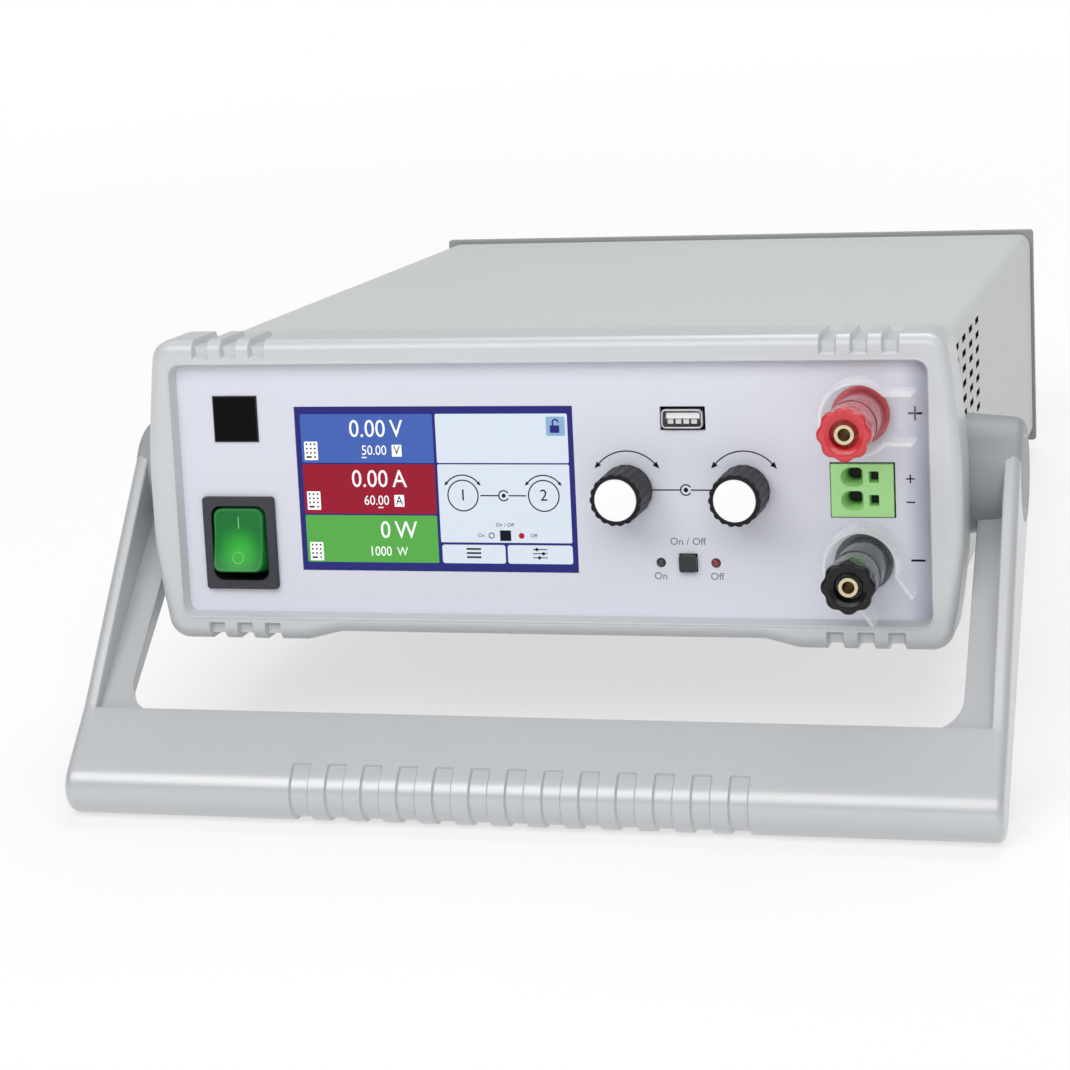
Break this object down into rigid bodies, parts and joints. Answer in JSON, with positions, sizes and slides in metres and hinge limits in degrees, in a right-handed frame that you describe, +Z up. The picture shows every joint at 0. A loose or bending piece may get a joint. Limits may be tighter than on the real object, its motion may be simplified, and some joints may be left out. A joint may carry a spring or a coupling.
{
  "type": "laboratory power supply",
  "caption": "Bench power supply with colour display, two push-turn knobs, power rocker, screw output terminals and a swinging carrying handle that props up its front.",
  "frame": {"origin": "middle of the footprint on the table, standing on the lowered handle and the rear feet", "axes": "+Z up, front panel faces -Y and is raised, +X to the right as seen from the front"},
  "size_m": [0.308, 0.4196, 0.1448],
  "materials": {
    "bezel_plastic": "fine moulded texture, light silver grey",
    "handle_plastic": "fine moulded texture, silver grey",
    "panel_paint": "pale lilac grey print on sheet",
    "case_paint": "light greenish grey powder coat",
    "frame_paint": "grey powder coat",
    "badge_black": "dark gloss",
    "screen": "lit colour screen",
    "module_metal": "bright sheet",
    "board_green": "solder mask",
    "steel": "bright zinc",
    "switch_dark": "dark grey moulded",
    "rocker_green": "translucent green, lit from inside",
    "white_plastic": "white",
    "black_plastic": "black moulded",
    "lamp_dark": "dark lens",
    "lamp_red": "red lens",
    "knob_grey": "dark grey moulded",
    "red_plastic": "red",
    "red_clear": "translucent red",
    "dark_plastic": "near black",
    "dark_clear": "translucent grey",
    "clear_plastic": "clear moulded",
    "brass": "turned brass",
    "sense_green": "light green moulded",
    "rubber": "black rubber",
    "core_steel": "varnished laminations",
    "copper": "enamelled copper winding",
    "aluminium": "extruded",
    "can_blue": "sleeved can"
  },
  "bodies": {
    "chassis": {"front_bezel": "bezel_plastic", "front_panel": "panel_paint", "badge_plate": "badge_black", "display_glass": "screen", "display_module": "module_metal", "control_board": "board_green", "panel_spacers": "steel", "switch_body": "switch_dark", "usb_shell": "steel", "usb_tongue": "white_plastic", "button_switch": "black_plastic", "lamp_on": "lamp_dark", "lamp_off": "lamp_red", "left_encoder": "module_metal", "right_encoder": "module_metal", "plus_sleeve": "red_clear", "plus_post": "brass", "minus_sleeve": "dark_clear", "minus_post": "brass", "terminal_nuts": "steel", "sense_connector": "sense_green", "top_cover": "case_paint", "bottom_tray": "frame_paint", "rear_panel": "frame_paint", "rear_frame": "frame_paint", "rear_feet": "rubber", "pivot_discs": "handle_plastic", "pivot_bolts": "steel", "main_board": "board_green", "main_spacers": "steel", "transformer": "core_steel", "choke": "copper", "heatsinks": "aluminium", "capacitors": "can_blue", "filter_block": "black_plastic", "mains_inlet": "black_plastic", "inlet_pins": "brass", "fan_frame": "black_plastic", "fan_guard": "steel", "fan_screws": "steel", "case_screws": "steel"},
    "handle": {"handle": "handle_plastic", "hub_caps": "handle_plastic"},
    "rocker": {"rocker": "rocker_green"},
    "output_button": {"output_button": "knob_grey"},
    "left_plunger": {"left_plunger": "white_plastic"},
    "left_knob": {"left_shaft": "steel", "left_knob": "knob_grey", "left_cap": "white_plastic"},
    "right_plunger": {"right_plunger": "white_plastic"},
    "right_knob": {"right_shaft": "steel", "right_knob": "knob_grey", "right_cap": "white_plastic"},
    "plus_washer": {"plus_washer": "steel"},
    "plus_collar": {"plus_collar": "red_plastic"},
    "plus_cover": {"plus_cover": "clear_plastic"},
    "minus_washer": {"minus_washer": "steel"},
    "minus_collar": {"minus_collar": "dark_plastic"},
    "minus_cover": {"minus_cover": "clear_plastic"},
    "fan_rotor": {"fan_rotor": "black_plastic"}
  },
  "joints": [
    {"name": "handle_swing", "type": "hinge", "parent": "chassis", "child": "handle", "pos_m": [0, -0.10432, 0.08723], "axis": [-1, 0, 0], "range_deg": [-90, 185]},
    {"name": "power_rocker", "type": "hinge", "parent": "chassis", "child": "rocker", "pos_m": [-0.1067, -0.14165, 0.07501], "axis": [1, 0, 0], "range_deg": [0, 20]},
    {"name": "output_press", "type": "slide", "parent": "chassis", "child": "output_button", "axis": [0, 0.9921, -0.1252], "range_m": [0, 0.001], "stiffness_N_per_m": 800, "springref_m": -0.0008},
    {"name": "left_press", "type": "slide", "parent": "chassis", "child": "left_plunger", "axis": [0, 0.9921, -0.1252], "range_m": [0, 0.0008], "stiffness_N_per_m": 1500, "springref_m": -0.0008},
    {"name": "left_turn", "type": "hinge", "parent": "left_plunger", "child": "left_knob", "pos_m": [0.0285, -0.15418, 0.09554], "axis": [0, 0.9921, -0.1252], "continuous": true},
    {"name": "right_press", "type": "slide", "parent": "chassis", "child": "right_plunger", "axis": [0, 0.9921, -0.1252], "range_m": [0, 0.0008], "stiffness_N_per_m": 1500, "springref_m": -0.0008},
    {"name": "right_turn", "type": "hinge", "parent": "right_plunger", "child": "right_knob", "pos_m": [0.0673, -0.15418, 0.09554], "axis": [0, 0.9921, -0.1252], "continuous": true},
    {"name": "plus_lift", "type": "slide", "parent": "chassis", "child": "plus_washer", "axis": [0, -0.9921, 0.1252], "range_m": [0, 0.003]},
    {"name": "plus_screw", "type": "hinge", "parent": "plus_washer", "child": "plus_collar", "pos_m": [0.106, -0.17287, 0.1231], "axis": [0, -0.9921, 0.1252], "range_deg": [0, 1080.1]},
    {"name": "minus_lift", "type": "slide", "parent": "chassis", "child": "minus_washer", "axis": [0, -0.9921, 0.1252], "range_m": [0, 0.003]},
    {"name": "minus_screw", "type": "hinge", "parent": "minus_washer", "child": "minus_collar", "pos_m": [0.106, -0.17886, 0.07567], "axis": [0, -0.9921, 0.1252], "range_deg": [0, 1080.1]},
    {"name": "plus_cover_turn", "type": "hinge", "parent": "chassis", "child": "plus_cover", "pos_m": [0.106, -0.14509, 0.11959], "axis": [0, 0.9921, -0.1252], "range_deg": [-25, 205]},
    {"name": "minus_cover_turn", "type": "hinge", "parent": "chassis", "child": "minus_cover", "pos_m": [0.106, -0.15108, 0.07217], "axis": [0, 0.9921, -0.1252], "continuous": true},
    {"name": "fan_spin", "type": "hinge", "parent": "chassis", "child": "fan_rotor", "pos_m": [0.058, 0.18392, 0.05348], "axis": [0, 0.9921, -0.1252], "continuous": true}
  ],
  "couplings": [
    {"joint": "plus_screw", "follows": "plus_lift", "rad_per_m": 6283.2},
    {"joint": "minus_screw", "follows": "minus_lift", "rad_per_m": 6283.2}
  ]
}
